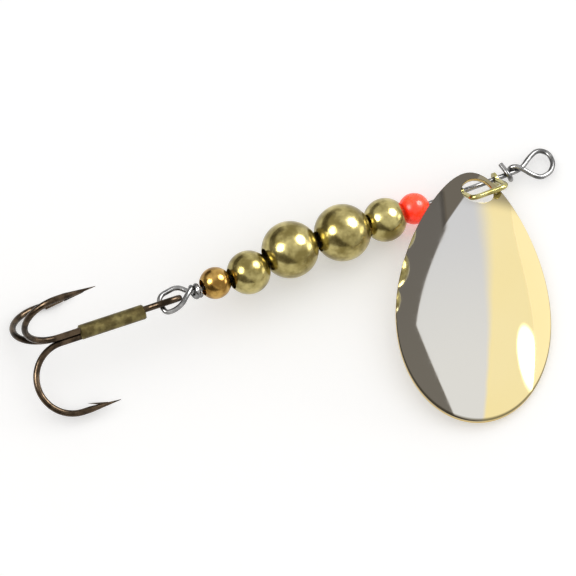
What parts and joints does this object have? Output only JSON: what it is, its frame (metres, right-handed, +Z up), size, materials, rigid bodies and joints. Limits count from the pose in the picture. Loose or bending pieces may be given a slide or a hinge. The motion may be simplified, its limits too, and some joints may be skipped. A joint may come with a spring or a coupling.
{
  "type": "inline spinner lure",
  "caption": "Inline spinner fishing lure: a wire shaft with an eye at each end, a swinging domed blade on a clevis, a row of metal beads, a red bead and a treble hook.",
  "frame": {"origin": "middle of the lure's bounding box, on the surface it lies on", "axes": "+X from the hook towards the line eye, +Z up from the surface"},
  "size_m": [0.1029, 0.0564, 0.0216],
  "materials": {
    "spring_wire": "drawn spring wire",
    "clevis_brass": "pale plated brass",
    "blade_plate": "polished plate, nickel on one half and gold on the other",
    "red_plastic": "gloss fluorescent red",
    "bead_brass": "polished",
    "bead_copper": "polished, redder",
    "hook_bronze": "dark bronze plating",
    "braze": "dull braze"
  },
  "bodies": {
    "shaft": {"wire_shaft": "spring_wire"},
    "clevis": {"clevis": "clevis_brass"},
    "blade": {"spinner_blade": "blade_plate"},
    "red_bead": {"red_bead": "red_plastic"},
    "front_medium_bead": {"front_medium_bead": "bead_brass"},
    "front_large_bead": {"front_large_bead": "bead_brass"},
    "rear_large_bead": {"rear_large_bead": "bead_brass"},
    "rear_medium_bead": {"rear_medium_bead": "bead_brass"},
    "small_tail_bead": {"small_tail_bead": "bead_copper"},
    "treble": {"treble_double_hook": "hook_bronze", "treble_single_hook": "hook_bronze", "treble_braze": "braze"}
  },
  "joints": [
    {"name": "clevis_spin", "type": "hinge", "parent": "shaft", "child": "clevis", "pos_m": [0.03663, 0.01488, 0.00264], "axis": [0.9962, 0, -0.0872], "continuous": true},
    {"name": "blade_swing", "type": "hinge", "parent": "clevis", "child": "blade", "pos_m": [0.03326, 0.01488, 0.00294], "axis": [-0.0605, 0.7193, -0.692], "range_deg": [0, 115]},
    {"name": "red_bead_spin", "type": "hinge", "parent": "shaft", "child": "red_bead", "pos_m": [0.02417, 0.01504, 0.00388], "axis": [0.9962, 0, -0.0872], "continuous": true},
    {"name": "front_medium_bead_spin", "type": "hinge", "parent": "shaft", "child": "front_medium_bead", "pos_m": [0.01839, 0.01482, 0.00466], "axis": [0.9962, 0, -0.0872], "continuous": true},
    {"name": "front_large_bead_spin", "type": "hinge", "parent": "shaft", "child": "front_large_bead", "pos_m": [0.01023, 0.01511, 0.00591], "axis": [0.9962, 0, -0.0872], "continuous": true},
    {"name": "rear_large_bead_spin", "type": "hinge", "parent": "shaft", "child": "rear_large_bead", "pos_m": [0.00031, 0.01566, 0.00662], "axis": [0.9962, 0, -0.0872], "continuous": true},
    {"name": "rear_medium_bead_spin", "type": "hinge", "parent": "shaft", "child": "rear_medium_bead", "pos_m": [-0.0082, 0.01474, 0.00657], "axis": [0.9962, 0, -0.0872], "continuous": true},
    {"name": "small_tail_bead_spin", "type": "hinge", "parent": "shaft", "child": "small_tail_bead", "pos_m": [-0.01458, 0.01498, 0.0073], "axis": [0.9962, 0, -0.0872], "continuous": true},
    {"name": "hook_swing", "type": "hinge", "parent": "shaft", "child": "treble", "pos_m": [-0.02516, 0.01446, 0.00805], "axis": [0, 1, 0], "range_deg": [-45, 60]}
  ]
}
